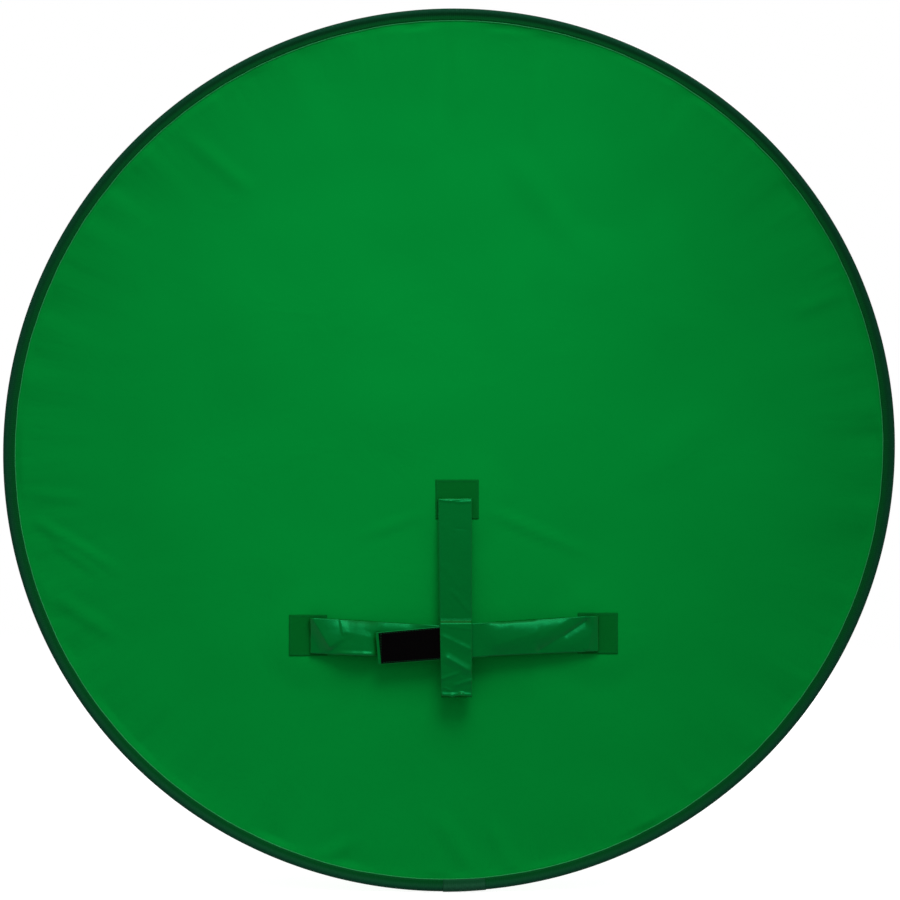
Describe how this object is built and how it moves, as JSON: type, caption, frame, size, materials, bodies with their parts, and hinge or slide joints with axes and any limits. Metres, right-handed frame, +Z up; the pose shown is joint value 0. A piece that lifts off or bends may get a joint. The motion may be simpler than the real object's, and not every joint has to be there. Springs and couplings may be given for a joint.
{
  "type": "pop-up green screen",
  "caption": "Round pop-up green screen on a sprung hoop, with a looped top strap and two hook-taped side straps that hold it on a chair back.",
  "frame": {"origin": "front face of the cloth, in the middle of the top strap's sewn edge, where the top of the chair back comes", "axes": "+X to the right as seen from the strap side, +Y through the cloth to its back, +Z up"},
  "size_m": [1.4272, 0.0356, 1.4132],
  "materials": {
    "screen_fabric": "satin",
    "patch_fabric": "matte",
    "strap_fabric": "satin",
    "edge_tape": "matte",
    "hook_tape": "matte",
    "loop_tape": "matte",
    "spring_steel": "satin",
    "ferrule_metal": "satin"
  },
  "bodies": {
    "screen": {"screen_cloth": "screen_fabric", "spring_hoop": "spring_steel", "hoop_ferrule": "ferrule_metal", "edge_binding": "edge_tape", "binding_overlap": "edge_tape", "top_patch": "patch_fabric", "left_patch": "patch_fabric", "right_patch": "patch_fabric", "top_strap_hem": "strap_fabric", "left_strap_hem": "strap_fabric", "right_strap_hem": "strap_fabric"},
    "top_strap": {"top_strap_arm": "strap_fabric"},
    "loop": {"strap_loop": "strap_fabric"},
    "left_strap": {"left_strap_arm": "strap_fabric"},
    "left_end": {"left_strap_end": "strap_fabric", "loop_tape": "loop_tape"},
    "right_strap": {"right_strap_arm": "strap_fabric"},
    "right_middle": {"right_strap_middle": "strap_fabric", "hook_tape_root": "hook_tape"},
    "hook_tab": {"right_strap_tab": "strap_fabric", "hook_tape_end": "hook_tape"}
  },
  "joints": [
    {"name": "top_strap_swing", "type": "hinge", "parent": "screen", "child": "top_strap", "pos_m": [0, -0.0041, -0.003], "axis": [-1, 0, 0], "range_deg": [-3, 20]},
    {"name": "loop_fold", "type": "hinge", "parent": "top_strap", "child": "loop", "pos_m": [0, -0.018, -0.192], "axis": [1, 0, 0], "range_deg": [-3, 20]},
    {"name": "left_strap_swing", "type": "hinge", "parent": "screen", "child": "left_strap", "pos_m": [-0.231, -0.0041, -0.2195], "axis": [0, 0, -1], "range_deg": [-3, 20]},
    {"name": "left_strap_fold", "type": "hinge", "parent": "left_strap", "child": "left_end", "pos_m": [-0.042, -0.0212, -0.2195], "axis": [0, 0, 1], "range_deg": [-3, 20]},
    {"name": "right_strap_swing", "type": "hinge", "parent": "screen", "child": "right_strap", "pos_m": [0.224, -0.0041, -0.2163], "axis": [0, 0, 1], "range_deg": [-3, 20]},
    {"name": "right_strap_fold", "type": "hinge", "parent": "right_strap", "child": "right_middle", "pos_m": [0.035, -0.0254, -0.2163], "axis": [0, 0, -1], "range_deg": [-3, 20]},
    {"name": "hook_tab_peel", "type": "hinge", "parent": "right_middle", "child": "hook_tab", "pos_m": [-0.04838, -0.0273, -0.2163], "axis": [0, 0, 1], "range_deg": [0, 90]}
  ],
  "couplings": [
    {"joint": "loop_fold", "follows": "top_strap_swing", "ratio": 1},
    {"joint": "left_strap_swing", "follows": "top_strap_swing", "ratio": 1},
    {"joint": "left_strap_fold", "follows": "top_strap_swing", "ratio": 1},
    {"joint": "right_strap_swing", "follows": "top_strap_swing", "ratio": 1},
    {"joint": "right_strap_fold", "follows": "top_strap_swing", "ratio": 1}
  ]
}
